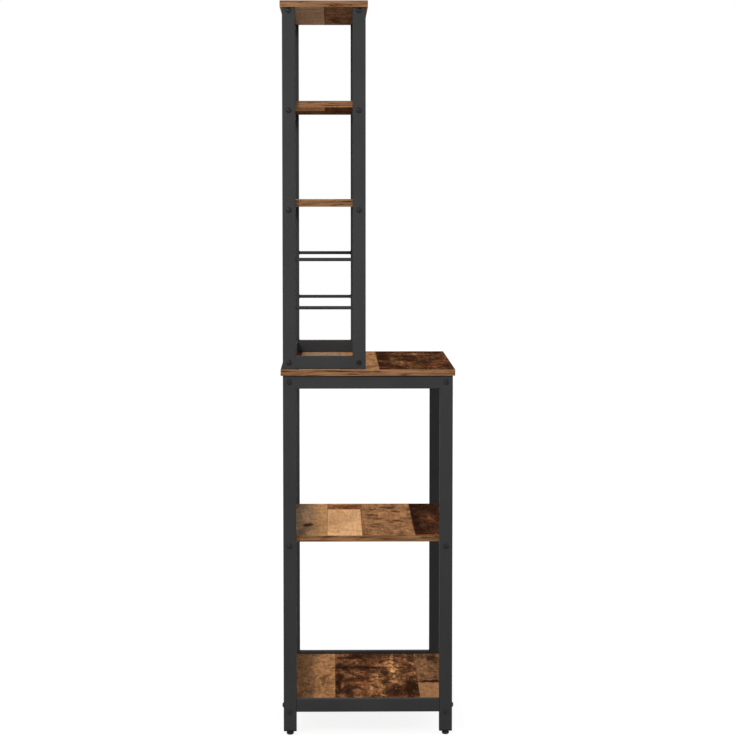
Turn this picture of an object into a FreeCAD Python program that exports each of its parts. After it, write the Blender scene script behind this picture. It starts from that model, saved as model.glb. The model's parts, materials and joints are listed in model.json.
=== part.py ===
import FreeCAD, Part
import math
import os

# A kitchen shelf: a deep base with a worktop and two shelves, and a narrow hutch behind.
# Millimetres, +Z up, front towards -Y, left towards -X.
# The origin is on the floor under the middle of the worktop.

# Overall sizes
WORKTOP_WIDTH = 600.0
WORKTOP_DEPTH = 400.0
WORKTOP_HEIGHT = 850.0
SHELF_UNIT_HEIGHT = 1687.0
HUTCH_DEPTH = 190.0
BOARD_OVERHANG = 5.0

# Boards
BOARD_THICKNESS = 15.0
BOARD_EDGE_RADIUS = 0.8
BOARD_END_GAP = 0.5

# Shelf heights. Each share is part of the way up: the middle shelf from the bottom shelf
# to the worktop, the hutch shelves from the worktop to the top.
BOTTOM_SHELF_TOP = 77.0
MIDDLE_SHELF_SHARE = 0.5
HUTCH_LOWER_SHELF_SHARE = 0.461
HUTCH_UPPER_SHELF_SHARE = 0.731

# Steel tube: posts and rails are broad across the depth and narrow across the width
TUBE_BROAD = 30.0
TUBE_NARROW = 20.0
TUBE_WALL = 1.5
TUBE_CORNER_RADIUS = 2.5
TUBE_INNER_RADIUS = 1.0
BAR_SIZE = 15.0
BOTTOM_RAIL_RISE = 7.0

# Round rods in the hutch sides, each part of the way from the worktop to the lower shelf
ROD_DIAMETER = 8.0
ROD_LOWER_SHARE = 0.364
ROD_UPPER_SHARE = 0.65
ROD_SEAT_DEPTH = 6.0

# Button-head screws that hold the frame together
SCREW_DIAMETER = 6.0
SCREW_HEAD_DIAMETER = 12.0
SCREW_HEAD_HEIGHT = 3.0
SCREW_HEAD_RIM = 0.8
SCREW_HEAD_FLAT = 6.0
SCREW_HEAD_BULGE_HEIGHT = 0.4
SCREW_SOCKET_FLATS = 4.0
SCREW_SOCKET_DEPTH = 2.0
SCREW_END_ROOM = 3.0
INSERT_LENGTH = 14.0
PLUG_HEAD_HEIGHT = 1.2
PLUG_STEM_LENGTH = 8.0

# Wood screws that hold the boards down
WOOD_SCREW_DIAMETER = 4.0
WOOD_SCREW_HEAD_DIAMETER = 8.0
WOOD_SCREW_HEAD_HEIGHT = 2.4
WOOD_SCREW_SLOT = 1.2
WOOD_SCREW_BITE = 10.0
WOOD_SCREW_END_DISTANCE = 90.0

# Bolts that tie the hutch to the base through the worktop
TIE_NUT_FLATS = 10.0
TIE_NUT_HEIGHT = 6.0
TIE_BOLT_INSET = 30.0

# Levelling feet
LEG_PLUG_FLANGE = 3.0
LEG_PLUG_ROOM = 10.0
PAD_DIAMETER = 17.0
PAD_BASE_DIAMETER = 12.0
PAD_CHAMFER_HEIGHT = 2.5
PAD_FLOOR = 1.6
PAD_LIP = 2.0
STUD_DIAMETER = 8.0
STUD_FLANGE_DIAMETER = 12.0
STUD_FLANGE_HEIGHT = 1.8
STUD_COLLAR_FLATS = 13.0
STUD_COLLAR_HEIGHT = 2.4
STUD_END_CHAMFER = 1.0
STUD_END_ROOM = 3.5
THREAD_INSERT_DIAMETER = 11.0
THREAD_INSERT_ROOM = 10.5

# Clearances, each measured on the radius or on one side
SCREW_CLEARANCE = 0.3
THREAD_CLEARANCE = 0.08
PRESS_CLEARANCE = 0.05
TURN_CLEARANCE = 0.3

V = FreeCAD.Vector
UP = V(0, 0, 1)
DOWN = V(0, 0, -1)

# Places that follow from the sizes above
FRAME_X = WORKTOP_WIDTH / 2 - BOARD_OVERHANG
INNER_X = FRAME_X - TUBE_NARROW
POST_X = FRAME_X - TUBE_NARROW / 2
FRAME_Y = WORKTOP_DEPTH / 2 - BOARD_OVERHANG
BASE_POST_Y = FRAME_Y - TUBE_BROAD / 2
HUTCH_FRONT_Y = FRAME_Y - HUTCH_DEPTH
HUTCH_POST_Y = HUTCH_FRONT_Y + TUBE_BROAD / 2
WORKTOP_UNDER = WORKTOP_HEIGHT - BOARD_THICKNESS
TOP_SHELF_UNDER = SHELF_UNIT_HEIGHT - BOARD_THICKNESS
PAD_HEIGHT = PAD_FLOOR + STUD_FLANGE_HEIGHT + 2 * TURN_CLEARANCE + PAD_LIP
LEG_CLEARANCE = PAD_HEIGHT + STUD_COLLAR_HEIGHT + 2 * TURN_CLEARANCE
POST_FOOT = LEG_CLEARANCE + LEG_PLUG_FLANGE
TUBE_FIT = 2 * (TUBE_WALL + PRESS_CLEARANCE)
TOP_RAIL_Z = WORKTOP_UNDER - TUBE_BROAD / 2
BOTTOM_RAIL_Z = BOTTOM_SHELF_TOP + BOTTOM_RAIL_RISE - TUBE_BROAD / 2
HUTCH_RAIL_Z = WORKTOP_HEIGHT + TUBE_BROAD / 2
SIDES = {"left": -1, "right": 1}


def part_way(low, high, share):
    """Height that lies a share of the way from a low height to a high one."""
    return low + share * (high - low)


MIDDLE_SHELF_TOP = part_way(BOTTOM_SHELF_TOP, WORKTOP_HEIGHT, MIDDLE_SHELF_SHARE)
HUTCH_LOWER_SHELF_TOP = part_way(WORKTOP_HEIGHT, SHELF_UNIT_HEIGHT, HUTCH_LOWER_SHELF_SHARE)
HUTCH_UPPER_SHELF_TOP = part_way(WORKTOP_HEIGHT, SHELF_UNIT_HEIGHT, HUTCH_UPPER_SHELF_SHARE)


def bar_height(shelf_top):
    """Height of the middle of the bar under a shelf whose upper face is given."""
    return shelf_top - BOARD_THICKNESS - BAR_SIZE / 2


BOTTOM_BAR_Z = bar_height(BOTTOM_SHELF_TOP)
MIDDLE_BAR_Z = bar_height(MIDDLE_SHELF_TOP)
HUTCH_LOWER_BAR_Z = bar_height(HUTCH_LOWER_SHELF_TOP)
HUTCH_UPPER_BAR_Z = bar_height(HUTCH_UPPER_SHELF_TOP)
TOP_BAR_Z = bar_height(SHELF_UNIT_HEIGHT)

nodes = {}


def add(name, *solids):
    """Put solids in a named node."""
    nodes.setdefault(name, []).extend(solids)


def rounded_face(wide, tall, radius):
    """Rectangle about the origin in the XY plane, with round corners."""
    arcs = []
    for quarter, (side_x, side_y) in enumerate([(1, 1), (-1, 1), (-1, -1), (1, -1)]):
        middle = V(side_x * (wide / 2 - radius), side_y * (tall / 2 - radius), 0)
        angles = [math.radians(90 * quarter + turn) for turn in (0, 45, 90)]
        arcs.append([middle + V(math.cos(a), math.sin(a), 0) * radius for a in angles])
    edges = []
    for arc, following in zip(arcs, arcs[1:] + arcs[:1]):
        edges.append(Part.Arc(*arc).toShape())
        edges.append(Part.LineSegment(arc[2], following[0]).toShape())
    return Part.Face(Part.Wire(edges))


def place(shape, point, direction):
    """Move a shape drawn about the origin so that its +Z runs along a direction from a point."""
    shape.Placement = FreeCAD.Placement(point, FreeCAD.Rotation(UP, direction))
    return shape


def hexagon(flats, height):
    """Hexagonal prism standing on the XY plane."""
    reach = flats / math.sqrt(3)
    corners = [V(reach * math.cos(math.radians(a)), reach * math.sin(math.radians(a)), 0)
               for a in range(0, 420, 60)]
    return Part.Face(Part.makePolygon(corners)).extrude(V(0, 0, height))


def turned(profile):
    """Solid turned about Z from a closed outline of (radius, height) corners."""
    corners = [V(radius, 0, height) for radius, height in profile + profile[:1]]
    return Part.Face(Part.makePolygon(corners)).revolve(V(0, 0, 0), UP, 360)


def prism(face, axis, middle, length):
    """Face drawn on the XY plane, run along an axis and centred on a point.

    The face's own x and y become width and depth along z, width and height along y,
    and depth and height along x.
    """
    solid = face.extrude(V(0, 0, length))
    solid.translate(V(0, 0, -length / 2))
    if axis == "x":
        solid.rotate(V(0, 0, 0), V(1, 1, 1), 120)
    if axis == "y":
        solid.rotate(V(0, 0, 0), V(1, 0, 0), 90)
    solid.translate(middle)
    return solid


def tube(axis, middle, length, size_a, size_b):
    """Hollow rectangular tube along an axis, with its two cross sizes in the order of prism."""
    outer = rounded_face(size_a, size_b, TUBE_CORNER_RADIUS)
    inner = rounded_face(size_a - 2 * TUBE_WALL, size_b - 2 * TUBE_WALL, TUBE_INNER_RADIUS)
    return prism(outer.cut(inner).Faces[0], axis, middle, length)


def drilled(shape, diameter, point, direction, depth):
    """Shape with a round hole that starts at a point."""
    return shape.cut(Part.makeCylinder(diameter / 2, depth, point, direction))


def frame_screw(point, outward, grip):
    """Button-head screw with a hex socket; its head sits on the point and faces outward."""
    shank = SCREW_DIAMETER / 2
    head = SCREW_HEAD_DIAMETER / 2
    rim = V(head, 0, SCREW_HEAD_RIM)
    crown = V(SCREW_HEAD_FLAT / 2, 0, SCREW_HEAD_HEIGHT)
    shoulder = (rim + crown) / 2 + V(SCREW_HEAD_BULGE_HEIGHT, 0, SCREW_HEAD_BULGE_HEIGHT)
    corners = [V(0, 0, SCREW_HEAD_HEIGHT), V(0, 0, -grip), V(shank, 0, -grip)]
    corners += [V(shank, 0, 0), V(head, 0, 0), rim]
    edges = [Part.LineSegment(a, b).toShape() for a, b in zip(corners, corners[1:])]
    edges.append(Part.Arc(rim, shoulder, crown).toShape())
    edges.append(Part.LineSegment(crown, corners[0]).toShape())
    solid = Part.Face(Part.Wire(edges)).revolve(V(0, 0, 0), UP, 360)
    socket = hexagon(SCREW_SOCKET_FLATS, SCREW_SOCKET_DEPTH)
    socket.translate(V(0, 0, SCREW_HEAD_HEIGHT - SCREW_SOCKET_DEPTH))
    return place(solid.cut(socket), point, outward)


def wood_screw(point, outward, grip):
    """Pan-head wood screw with a cross slot; its head sits on the point and faces outward."""
    shank = WOOD_SCREW_DIAMETER / 2
    head = WOOD_SCREW_HEAD_DIAMETER / 2
    top = WOOD_SCREW_HEAD_HEIGHT
    solid = turned([(0, top), (0, -grip), (shank, WOOD_SCREW_DIAMETER - grip), (shank, 0),
                    (head, 0), (head, top / 2), (head - top / 2, top)])
    for turn in (0, 90):
        slot = Part.makeBox(head, WOOD_SCREW_SLOT, top, V(-head / 2, -WOOD_SCREW_SLOT / 2, top / 2))
        slot.rotate(V(0, 0, 0), UP, turn)
        solid = solid.cut(slot)
    return place(solid, point, outward)


def end_insert(axis, seat, inward, size_a, size_b):
    """Block fixed in a tube's end, flush with the seat, with a tapped hole for a frame screw."""
    face = rounded_face(size_a - TUBE_FIT, size_b - TUBE_FIT, TUBE_INNER_RADIUS)
    block = prism(face, axis, seat + inward * (INSERT_LENGTH / 2), INSERT_LENGTH)
    return drilled(block, SCREW_DIAMETER + 2 * THREAD_CLEARANCE, seat, inward, INSERT_LENGTH)


def cross_drilled(post, side, y, height):
    """Post with a hole from side to side for one frame screw."""
    hole = SCREW_DIAMETER + 2 * SCREW_CLEARANCE
    return drilled(post, hole, V(side * FRAME_X, y, height), V(-side, 0, 0), TUBE_NARROW)


# Posts. The base posts stand on their end plugs; the hutch posts stand on the worktop.
SCREW_GRIP = TUBE_NARROW + INSERT_LENGTH - SCREW_END_ROOM
RAIL_BOLT_GRIP = TUBE_BROAD + INSERT_LENGTH - SCREW_END_ROOM
BASE_SCREW_HEIGHTS = [BOTTOM_BAR_Z, MIDDLE_BAR_Z, TOP_RAIL_Z]
HUTCH_SCREW_HEIGHTS = [HUTCH_RAIL_Z, HUTCH_LOWER_BAR_Z, HUTCH_UPPER_BAR_Z, TOP_BAR_Z]
ROD_HEIGHTS = {"lower": part_way(WORKTOP_HEIGHT, HUTCH_LOWER_SHELF_TOP, ROD_LOWER_SHARE),
               "upper": part_way(WORKTOP_HEIGHT, HUTCH_LOWER_SHELF_TOP, ROD_UPPER_SHARE)}
BASE_ENDS = {"front": -BASE_POST_Y, "back": BASE_POST_Y}
HUTCH_ENDS = {"front": HUTCH_POST_Y, "back": BASE_POST_Y}

for side_name, side in SIDES.items():
    outward = V(side, 0, 0)
    for end_name, y in BASE_ENDS.items():
        end = math.copysign(1, y)
        length = WORKTOP_UNDER - POST_FOOT
        post = tube("z", V(side * POST_X, y, POST_FOOT + length / 2), length, TUBE_NARROW, TUBE_BROAD)
        for height in BASE_SCREW_HEIGHTS:
            post = cross_drilled(post, side, y, height)
            add("base_frame_screws", frame_screw(V(side * FRAME_X, y, height), outward, SCREW_GRIP))
        face = V(side * POST_X, end * FRAME_Y, BOTTOM_RAIL_Z)
        hole = SCREW_DIAMETER + 2 * SCREW_CLEARANCE
        post = drilled(post, hole, face, V(0, -end, 0), TUBE_BROAD)
        add("bottom_rail_bolts", frame_screw(face, V(0, end, 0), RAIL_BOLT_GRIP))
        add(f"base_{end_name}_{side_name}_post", post)
    for end_name, y in HUTCH_ENDS.items():
        inward = 1 if end_name == "front" else -1
        length = TOP_SHELF_UNDER - WORKTOP_HEIGHT
        post = tube("z", V(side * POST_X, y, WORKTOP_HEIGHT + length / 2), length, TUBE_NARROW, TUBE_BROAD)
        for height in HUTCH_SCREW_HEIGHTS:
            post = cross_drilled(post, side, y, height)
            if end_name == "back" or height != HUTCH_RAIL_Z:
                screw = frame_screw(V(side * FRAME_X, y, height), outward, SCREW_GRIP)
                add("hutch_frame_screws", screw)
        for height in ROD_HEIGHTS.values():
            seat = V(side * POST_X, y, height)
            post = drilled(post, ROD_DIAMETER + 2 * PRESS_CLEARANCE, seat, V(0, inward, 0), TUBE_BROAD)
        add(f"hutch_{end_name}_{side_name}_post", post)

# Push-in plugs close the spare lower hole of each front hutch post.
for side in SIDES.values():
    stem = SCREW_DIAMETER / 2 + SCREW_CLEARANCE - PRESS_CLEARANCE
    head = SCREW_HEAD_DIAMETER / 2
    ease = PLUG_HEAD_HEIGHT / 2
    plug = turned([(0, PLUG_HEAD_HEIGHT), (0, -PLUG_STEM_LENGTH), (stem, -PLUG_STEM_LENGTH), (stem, 0),
                   (head, 0), (head, ease), (head - ease, PLUG_HEAD_HEIGHT)])
    add("hutch_hole_plugs", place(plug, V(side * FRAME_X, HUTCH_POST_Y, HUTCH_RAIL_Z), V(side, 0, 0)))

# Side rails run from front post to back post. The bottom ones are bolted, the others welded.
BASE_RAIL_LENGTH = 2 * (FRAME_Y - TUBE_BROAD)
HUTCH_RAIL_LENGTH = HUTCH_DEPTH - 2 * TUBE_BROAD
HUTCH_MIDDLE_Y = (HUTCH_POST_Y + BASE_POST_Y) / 2
TIE_BOLT_YS = [HUTCH_MIDDLE_Y + way * (HUTCH_RAIL_LENGTH / 2 - TIE_BOLT_INSET) for way in (-1, 1)]
TIE_HOLE = SCREW_DIAMETER + 2 * SCREW_CLEARANCE
TIE_ACCESS_HOLE = SCREW_HEAD_DIAMETER + 2 * SCREW_CLEARANCE
TIE_GRIP = 2 * TUBE_WALL + BOARD_THICKNESS + TIE_NUT_HEIGHT

for side_name, side in SIDES.items():
    top_rail = tube("y", V(side * POST_X, 0, TOP_RAIL_Z), BASE_RAIL_LENGTH, TUBE_NARROW, TUBE_BROAD)
    bottom_rail = tube("y", V(side * POST_X, 0, BOTTOM_RAIL_Z), BASE_RAIL_LENGTH, TUBE_NARROW, TUBE_BROAD)
    hutch_rail = tube("y", V(side * POST_X, HUTCH_MIDDLE_Y, HUTCH_RAIL_Z), HUTCH_RAIL_LENGTH,
                      TUBE_NARROW, TUBE_BROAD)
    for y in TIE_BOLT_YS:
        inside = V(side * POST_X, y, TOP_RAIL_Z)
        top_rail = drilled(top_rail, TIE_HOLE, inside, UP, TUBE_BROAD)
        top_rail = drilled(top_rail, TIE_ACCESS_HOLE, inside, DOWN, TUBE_BROAD)
        hutch_rail = drilled(hutch_rail, TIE_HOLE, V(inside.x, y, WORKTOP_HEIGHT), UP, TUBE_BROAD / 2)
        seat = V(inside.x, y, WORKTOP_UNDER - TUBE_WALL)
        add("hutch_tie_bolts", frame_screw(seat, DOWN, TIE_GRIP))
        nut = drilled(hexagon(TIE_NUT_FLATS, TIE_NUT_HEIGHT), SCREW_DIAMETER + 2 * THREAD_CLEARANCE,
                      V(0, 0, 0), UP, TIE_NUT_HEIGHT)
        nut.translate(V(inside.x, y, WORKTOP_HEIGHT + TUBE_WALL))
        add("hutch_tie_nuts", nut)
    add(f"base_{side_name}_top_rail", top_rail)
    add(f"base_{side_name}_bottom_rail", bottom_rail)
    add(f"hutch_{side_name}_bottom_rail", hutch_rail)
    for end in (-1, 1):
        seat = V(side * POST_X, end * BASE_RAIL_LENGTH / 2, BOTTOM_RAIL_Z)
        insert = end_insert("y", seat, V(0, -end, 0), TUBE_NARROW, TUBE_BROAD)
        add("bottom_rail_inserts", insert)

# Round rods between the hutch posts, with their ends seated in the post walls.
for side_name, side in SIDES.items():
    for level, height in ROD_HEIGHTS.items():
        length = HUTCH_RAIL_LENGTH + 2 * ROD_SEAT_DEPTH
        start = V(side * POST_X, HUTCH_MIDDLE_Y - length / 2, height)
        rod = Part.makeCylinder(ROD_DIAMETER / 2, length, start, V(0, 1, 0))
        add(f"hutch_{side_name}_{level}_rod", rod)

# Cross rails and bars run from side to side. Each end holds a tapped insert.
SCREW_XS = [way * (INNER_X - WOOD_SCREW_END_DISTANCE) for way in (-1, 1)]
WOOD_HOLE = WOOD_SCREW_DIAMETER + 2 * SCREW_CLEARANCE


def cross_member(name, y, height, size_y, size_z, insert_node, screw_node=None):
    """Tube between the two sides, with its end inserts and the wood screws up through it."""
    member = tube("x", V(0, y, height), 2 * INNER_X, size_y, size_z)
    under = height - size_z / 2
    if screw_node:
        for x in SCREW_XS:
            member = drilled(member, WOOD_HOLE, V(x, y, under), UP, size_z)
            add(screw_node, wood_screw(V(x, y, under), DOWN, size_z + WOOD_SCREW_BITE))
    for side in SIDES.values():
        seat = V(side * INNER_X, y, height)
        add(insert_node, end_insert("x", seat, V(-side, 0, 0), size_y, size_z))
    add(name, member)


BASE_BARS = {"middle_shelf": MIDDLE_BAR_Z, "bottom_shelf": BOTTOM_BAR_Z}
HUTCH_BARS = {"hutch_lower_shelf": HUTCH_LOWER_BAR_Z, "hutch_upper_shelf": HUTCH_UPPER_BAR_Z,
              "top_shelf": TOP_BAR_Z}
for end_name, y in BASE_ENDS.items():
    cross_member(f"base_{end_name}_top_rail", y, TOP_RAIL_Z, TUBE_NARROW, TUBE_BROAD,
                 "cross_rail_inserts", "worktop_screws")
    for shelf, height in BASE_BARS.items():
        cross_member(f"{shelf}_{end_name}_bar", y, height, BAR_SIZE, BAR_SIZE,
                     "bar_inserts", "shelf_screws")
for end_name, y in HUTCH_ENDS.items():
    for shelf, height in HUTCH_BARS.items():
        cross_member(f"{shelf}_{end_name}_bar", y, height, BAR_SIZE, BAR_SIZE,
                     "bar_inserts", "shelf_screws")
cross_member("hutch_back_bottom_rail", BASE_POST_Y, HUTCH_RAIL_Z, TUBE_NARROW, TUBE_BROAD,
             "cross_rail_inserts")


def board(half_width, front, back, top, screw_ys):
    """Board with eased edges and a blind pilot hole for each wood screw from below."""
    low = top - BOARD_THICKNESS
    solid = Part.makeBox(2 * half_width, back - front, BOARD_THICKNESS, V(-half_width, front, low))
    solid = solid.makeFillet(BOARD_EDGE_RADIUS, solid.Edges)
    pilot = WOOD_SCREW_DIAMETER + 2 * PRESS_CLEARANCE
    for y in screw_ys:
        for x in SCREW_XS:
            solid = drilled(solid, pilot, V(x, y, low), UP, WOOD_SCREW_BITE + PRESS_CLEARANCE)
    return solid


# Boards. The worktop and the top shelf lie over the posts; the others lie between the sides.
SHELF_HALF = INNER_X - BOARD_END_GAP
BASE_YS = list(BASE_ENDS.values())
HUTCH_YS = list(HUTCH_ENDS.values())
worktop = board(WORKTOP_WIDTH / 2, -WORKTOP_DEPTH / 2, WORKTOP_DEPTH / 2, WORKTOP_HEIGHT, BASE_YS)
for side in SIDES.values():
    for y in TIE_BOLT_YS:
        worktop = drilled(worktop, TIE_HOLE, V(side * POST_X, y, WORKTOP_UNDER), UP, BOARD_THICKNESS)
add("worktop", worktop)
add("middle_shelf", board(SHELF_HALF, -FRAME_Y, FRAME_Y, MIDDLE_SHELF_TOP, BASE_YS))
add("bottom_shelf", board(SHELF_HALF, -FRAME_Y, FRAME_Y, BOTTOM_SHELF_TOP, BASE_YS))
add("hutch_lower_shelf", board(SHELF_HALF, HUTCH_FRONT_Y, FRAME_Y, HUTCH_LOWER_SHELF_TOP, HUTCH_YS))
add("hutch_upper_shelf", board(SHELF_HALF, HUTCH_FRONT_Y, FRAME_Y, HUTCH_UPPER_SHELF_TOP, HUTCH_YS))
add("top_shelf", board(WORKTOP_WIDTH / 2, HUTCH_FRONT_Y - BOARD_OVERHANG, WORKTOP_DEPTH / 2,
                       SHELF_UNIT_HEIGHT, HUTCH_YS))

# Levelling feet. A plug closes each leg and holds a thread insert; the stud turns in it
# and is held in the pad by a flange, so the pad rises and falls without turning.
PLUG_TOP = BOTTOM_BAR_Z - SCREW_DIAMETER / 2 - LEG_PLUG_ROOM
STUD_TOP = PLUG_TOP - STUD_END_ROOM
THREAD_INSERT_HEIGHT = PLUG_TOP - LEG_CLEARANCE - THREAD_INSERT_ROOM
STUD_BORE = STUD_DIAMETER + 2 * THREAD_CLEARANCE
FLANGE_LOW = PAD_FLOOR + TURN_CLEARANCE
FLANGE_TOP = FLANGE_LOW + STUD_FLANGE_HEIGHT
POCKET_TOP = FLANGE_TOP + TURN_CLEARANCE
NECK = STUD_DIAMETER / 2
THROAT = NECK + TURN_CLEARANCE
POCKET = STUD_FLANGE_DIAMETER / 2 + TURN_CLEARANCE

for side_name, side in SIDES.items():
    for end_name, y in BASE_ENDS.items():
        spot = V(side * POST_X, y, 0)

        flange = rounded_face(TUBE_NARROW, TUBE_BROAD, TUBE_CORNER_RADIUS).extrude(V(0, 0, LEG_PLUG_FLANGE))
        body = rounded_face(TUBE_NARROW - TUBE_FIT, TUBE_BROAD - TUBE_FIT, TUBE_INNER_RADIUS)
        body = body.extrude(V(0, 0, PLUG_TOP - LEG_CLEARANCE))
        plug = flange.fuse(body).removeSplitter()
        insert_bore = THREAD_INSERT_DIAMETER + 2 * PRESS_CLEARANCE
        plug = drilled(plug, insert_bore, V(0, 0, 0), UP, THREAD_INSERT_HEIGHT)
        plug = drilled(plug, STUD_DIAMETER + 2 * TURN_CLEARANCE, V(0, 0, 0), UP, PLUG_TOP)
        plug.translate(spot + V(0, 0, LEG_CLEARANCE))
        add("leg_plugs", plug)

        ring = Part.makeCylinder(THREAD_INSERT_DIAMETER / 2, THREAD_INSERT_HEIGHT - PRESS_CLEARANCE)
        ring = drilled(ring, STUD_BORE, V(0, 0, 0), UP, THREAD_INSERT_HEIGHT)
        ring.translate(spot + V(0, 0, LEG_CLEARANCE))
        add("leg_thread_inserts", ring)

        rim = PAD_DIAMETER / 2
        base = PAD_BASE_DIAMETER / 2
        pad = turned([(0, 0), (base, 0), (rim, PAD_CHAMFER_HEIGHT), (rim, PAD_HEIGHT),
                      (THROAT, PAD_HEIGHT), (THROAT, POCKET_TOP), (POCKET, POCKET_TOP),
                      (POCKET, PAD_FLOOR), (0, PAD_FLOOR)])
        pad.translate(spot)
        add(f"{end_name}_{side_name}_foot_pad", pad)

        wide = STUD_FLANGE_DIAMETER / 2
        tip = NECK - STUD_END_CHAMFER
        stud = turned([(0, FLANGE_LOW), (wide, FLANGE_LOW), (wide, FLANGE_TOP), (NECK, FLANGE_TOP),
                       (NECK, STUD_TOP - STUD_END_CHAMFER), (tip, STUD_TOP), (0, STUD_TOP)])
        collar = hexagon(STUD_COLLAR_FLATS, STUD_COLLAR_HEIGHT)
        collar.translate(V(0, 0, PAD_HEIGHT + TURN_CLEARANCE))
        stud = stud.fuse(collar).removeSplitter()
        stud.translate(spot)
        add(f"{end_name}_{side_name}_foot_stud", stud)

os.makedirs("parts", exist_ok=True)
for name, solids in nodes.items():
    shape = solids[0] if len(solids) == 1 else Part.makeCompound(solids)
    shape.exportStep(f"parts/{name}.step")
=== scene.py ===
import json
import math

import bmesh
import bpy
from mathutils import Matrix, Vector

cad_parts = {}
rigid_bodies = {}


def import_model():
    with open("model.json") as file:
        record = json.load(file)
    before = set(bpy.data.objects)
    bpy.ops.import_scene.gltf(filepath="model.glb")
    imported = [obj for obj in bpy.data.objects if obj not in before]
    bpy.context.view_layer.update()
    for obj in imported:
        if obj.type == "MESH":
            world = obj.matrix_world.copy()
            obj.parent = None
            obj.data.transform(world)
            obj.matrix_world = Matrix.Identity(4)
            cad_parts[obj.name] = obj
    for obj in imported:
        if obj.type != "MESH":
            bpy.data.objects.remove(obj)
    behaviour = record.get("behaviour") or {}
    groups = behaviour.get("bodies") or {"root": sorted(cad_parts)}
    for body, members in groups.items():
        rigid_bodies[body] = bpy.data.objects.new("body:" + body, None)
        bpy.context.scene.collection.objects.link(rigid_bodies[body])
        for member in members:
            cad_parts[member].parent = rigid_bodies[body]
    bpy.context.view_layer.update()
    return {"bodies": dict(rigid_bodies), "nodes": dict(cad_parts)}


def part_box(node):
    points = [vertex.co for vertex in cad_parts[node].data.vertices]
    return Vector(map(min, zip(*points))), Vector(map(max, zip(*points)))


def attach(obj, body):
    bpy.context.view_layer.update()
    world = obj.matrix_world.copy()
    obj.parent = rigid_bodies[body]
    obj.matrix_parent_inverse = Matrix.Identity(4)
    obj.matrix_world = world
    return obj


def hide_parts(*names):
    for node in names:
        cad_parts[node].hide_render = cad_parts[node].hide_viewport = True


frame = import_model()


# -------------------------------------------------------------------
# Base side frames. Each is two upright posts of 30 x 20 mm steel tube with a top rail
# welded between them and a bottom rail bolted in, all powder coated matte charcoal.
# -------------------------------------------------------------------
MM = 0.001
SIDES = {"left": -1, "right": 1}
ENDS = {"front": -1, "back": 1}


def add_node(tree, kind, sockets=None, **settings):
    """Add a node, set its options, and join or set the named or numbered sockets."""
    made = tree.nodes.new(kind)
    for option, value in settings.items():
        setattr(made, option, value)
    for socket, value in (sockets or {}).items():
        if isinstance(value, bpy.types.NodeSocket):
            tree.links.new(value, made.inputs[socket])
        else:
            made.inputs[socket].default_value = value
    return made


def sums(tree, operation, *values, clamp=False):
    """One arithmetic node; returns its result."""
    return add_node(tree, "ShaderNodeMath", dict(enumerate(values)),
                    operation=operation, use_clamp=clamp).outputs[0]


def stretch(tree, vector, factors):
    """A vector with each of its three parts multiplied."""
    return add_node(tree, "ShaderNodeVectorMath", {0: vector, 1: factors},
                    operation="MULTIPLY").outputs[0]


def speckle(tree, vector, per_metre, detail=2.0, roughness=0.5, distortion=0.0):
    """Cloudy noise between 0 and 1."""
    return add_node(tree, "ShaderNodeTexNoise", {
        "Vector": vector, "Scale": per_metre, "Detail": detail,
        "Roughness": roughness, "Distortion": distortion}).outputs["Fac"]


def spread(tree, value, low, high, to_low=0.0, to_high=1.0, smooth=False):
    """A value moved from one range to another and held inside it."""
    return add_node(tree, "ShaderNodeMapRange", {
        "Value": value, "From Min": low, "From Max": high, "To Min": to_low, "To Max": to_high},
        interpolation_type="SMOOTHSTEP" if smooth else "LINEAR", clamp=True).outputs[0]


def tinted(tree, share, first, second, mode="MIX"):
    """Two colours mixed by a share."""
    return add_node(tree, "ShaderNodeMix", {0: share, 6: first, 7: second},
                    data_type="RGBA", blend_type=mode, clamp_factor=True).outputs[2]


def paint(red, green, blue):
    """Colour of a paint card, given as 0 to 255, in the light units of the shader."""
    def light(level):
        level /= 255
        return level / 12.92 if level <= 0.04045 else ((level + 0.055) / 1.055) ** 2.4
    return light(red), light(green), light(blue), 1.0


def new_finish(name):
    """An empty node finish: material, node tree, shader and object coordinates."""
    material = bpy.data.materials.new(name)
    material.use_nodes = True
    tree = material.node_tree
    shader = tree.nodes["Principled BSDF"]
    return material, tree, shader, add_node(tree, "ShaderNodeTexCoord").outputs["Object"]


def coat_finish(name, dark, pale, rough_low, rough_high, peel_per_metre, peel_height):
    """A sprayed or moulded dark skin: faint clouding, uneven gloss and fine pebbles."""
    material, tree, shader, place = new_finish(name)
    peel_share, peel_strength, peel_per_grit = 0.35, 0.35, 7
    cloud = speckle(tree, place, per_metre=9.0, detail=3.0, roughness=0.6)
    peel = speckle(tree, place, peel_per_metre, detail=2.0, roughness=0.55)
    grit = speckle(tree, place, peel_per_metre / peel_per_grit, detail=3.0, roughness=0.6)
    share = spread(tree, sums(tree, "MULTIPLY_ADD", peel, peel_share, cloud), 0.4, 1.0)
    tree.links.new(tinted(tree, share, paint(*dark), paint(*pale)), shader.inputs["Base Color"])
    roughness = spread(tree, grit, 0.3, 0.7, rough_low, rough_high)
    tree.links.new(roughness, shader.inputs["Roughness"])
    bump = add_node(tree, "ShaderNodeBump", {
        "Strength": peel_strength, "Distance": peel_height, "Height": peel})
    tree.links.new(bump.outputs[0], shader.inputs["Normal"])
    return material, shader


def dress(material, *names):
    """Give CAD nodes a finish in place of their plain one."""
    for name in names:
        for slot in frame["nodes"][name].material_slots:
            slot.material = material


powder_coat, coat_shader = coat_finish(
    "charcoal_powder_coat", dark=(48, 48, 49), pale=(54, 54, 54), rough_low=0.55, rough_high=0.68,
    peel_per_metre=1400.0, peel_height=0.08 * MM)
coat_shader.inputs["Specular IOR Level"].default_value = 0.1

for side in SIDES:
    dress(powder_coat, f"base_{side}_top_rail", f"base_{side}_bottom_rail")
    for end in ENDS:
        dress(powder_coat, f"base_{end}_{side}_post")


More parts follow.
